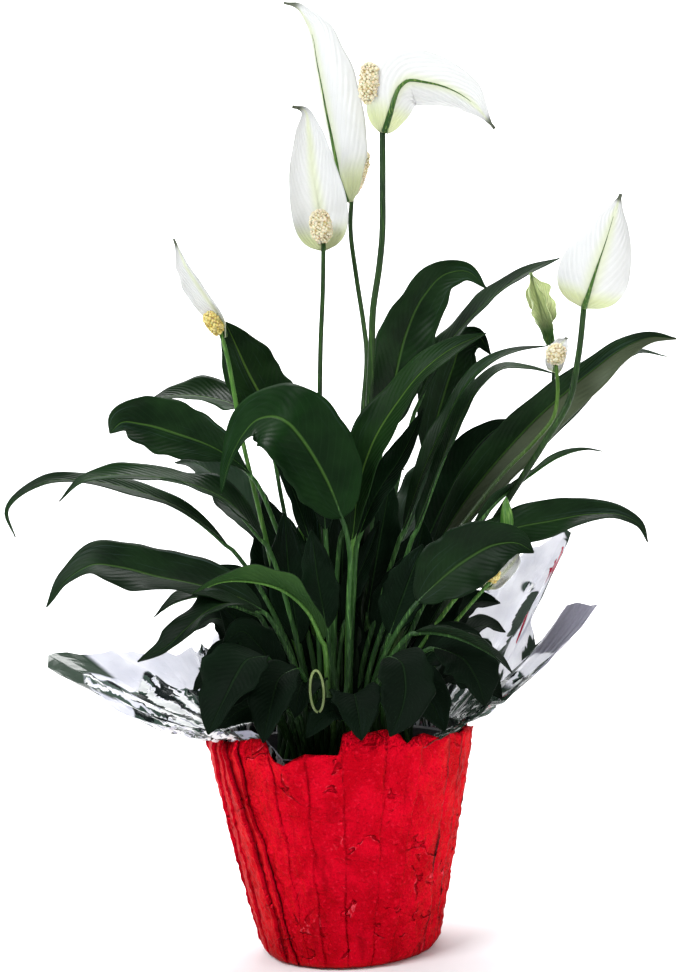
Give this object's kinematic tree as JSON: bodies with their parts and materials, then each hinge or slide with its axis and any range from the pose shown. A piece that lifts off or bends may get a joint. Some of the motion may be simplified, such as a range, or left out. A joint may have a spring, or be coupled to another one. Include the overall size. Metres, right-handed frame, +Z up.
{
  "type": "potted peace lily",
  "caption": "Peace lily with arching dark green leaves and white hooded blooms, in a nursery pot with a clear film collar and a pleated red foil cover.",
  "frame": {"origin": "centre of the foil cover's flat bottom, at the height of the surface it stands on", "axes": "+Z up, the plant's front towards -Y"},
  "size_m": [0.4253, 0.2896, 0.6056],
  "materials": {
    "red_foil": "crinkled metallic foil",
    "clear_film": "clear, glossy, printed",
    "black_plastic": "satin",
    "soil_brown": "rough, crumbly",
    "leaf_green": "waxy, half glossy",
    "leaf_bright": "waxy, half glossy",
    "stalk_green": "smooth",
    "bud_green": "smooth",
    "spathe_white": "soft, matte",
    "spadix_cream": "knobbly, matte"
  },
  "bodies": {
    "root": {"clump_back": "leaf_green", "clump_centre": "leaf_green", "clump_left": "leaf_green", "clump_right": "leaf_green", "film_collar": "clear_film", "foil_cover": "red_foil", "leaf_back_shade": "leaf_green", "leaf_centre_bright": "leaf_bright", "leaf_centre_dark": "leaf_green", "leaf_front_arch": "leaf_bright", "leaf_front_dark": "leaf_green", "leaf_front_right": "leaf_green", "leaf_front_short": "leaf_green", "leaf_heart": "leaf_green", "leaf_left_broad": "leaf_green", "leaf_left_droop": "leaf_green", "leaf_left_glossy": "leaf_green", "leaf_left_long": "leaf_green", "leaf_left_low": "leaf_green", "leaf_left_oval": "leaf_bright", "leaf_left_ribbon": "leaf_green", "leaf_left_thin": "leaf_green", "leaf_right_arch": "leaf_green", "leaf_right_broad": "leaf_green", "leaf_right_curl": "leaf_green", "leaf_right_droop": "leaf_green", "leaf_right_narrow": "leaf_green", "leaf_right_sliver": "leaf_green", "leaf_right_strap": "leaf_green", "leaf_right_strap_back": "leaf_green", "leaf_right_wavy": "leaf_green", "leaf_tall": "leaf_green", "leaf_tall_back": "leaf_green", "leaf_tall_narrow": "leaf_green", "nursery_pot": "black_plastic", "soil": "soil_brown", "spadix_front": "spadix_cream", "spadix_left": "spadix_cream", "spadix_low": "spadix_cream", "spadix_reflexed": "spadix_cream", "spadix_right": "spadix_cream", "spadix_small": "spadix_cream", "spadix_top": "spadix_cream", "spathe_bud_open": "bud_green", "spathe_front": "spathe_white", "spathe_left": "spathe_white", "spathe_low": "spathe_white", "spathe_reflexed": "spathe_white", "spathe_right": "spathe_white", "spathe_small": "spathe_white", "spathe_top": "spathe_white", "stalk_bud_closed": "bud_green", "stalk_bud_open": "stalk_green", "stalk_front": "stalk_green", "stalk_left": "stalk_green", "stalk_low": "stalk_green", "stalk_reflexed": "stalk_green", "stalk_right": "stalk_green", "stalk_small": "stalk_green", "stalk_top": "stalk_green"}
  },
  "joints": []
}
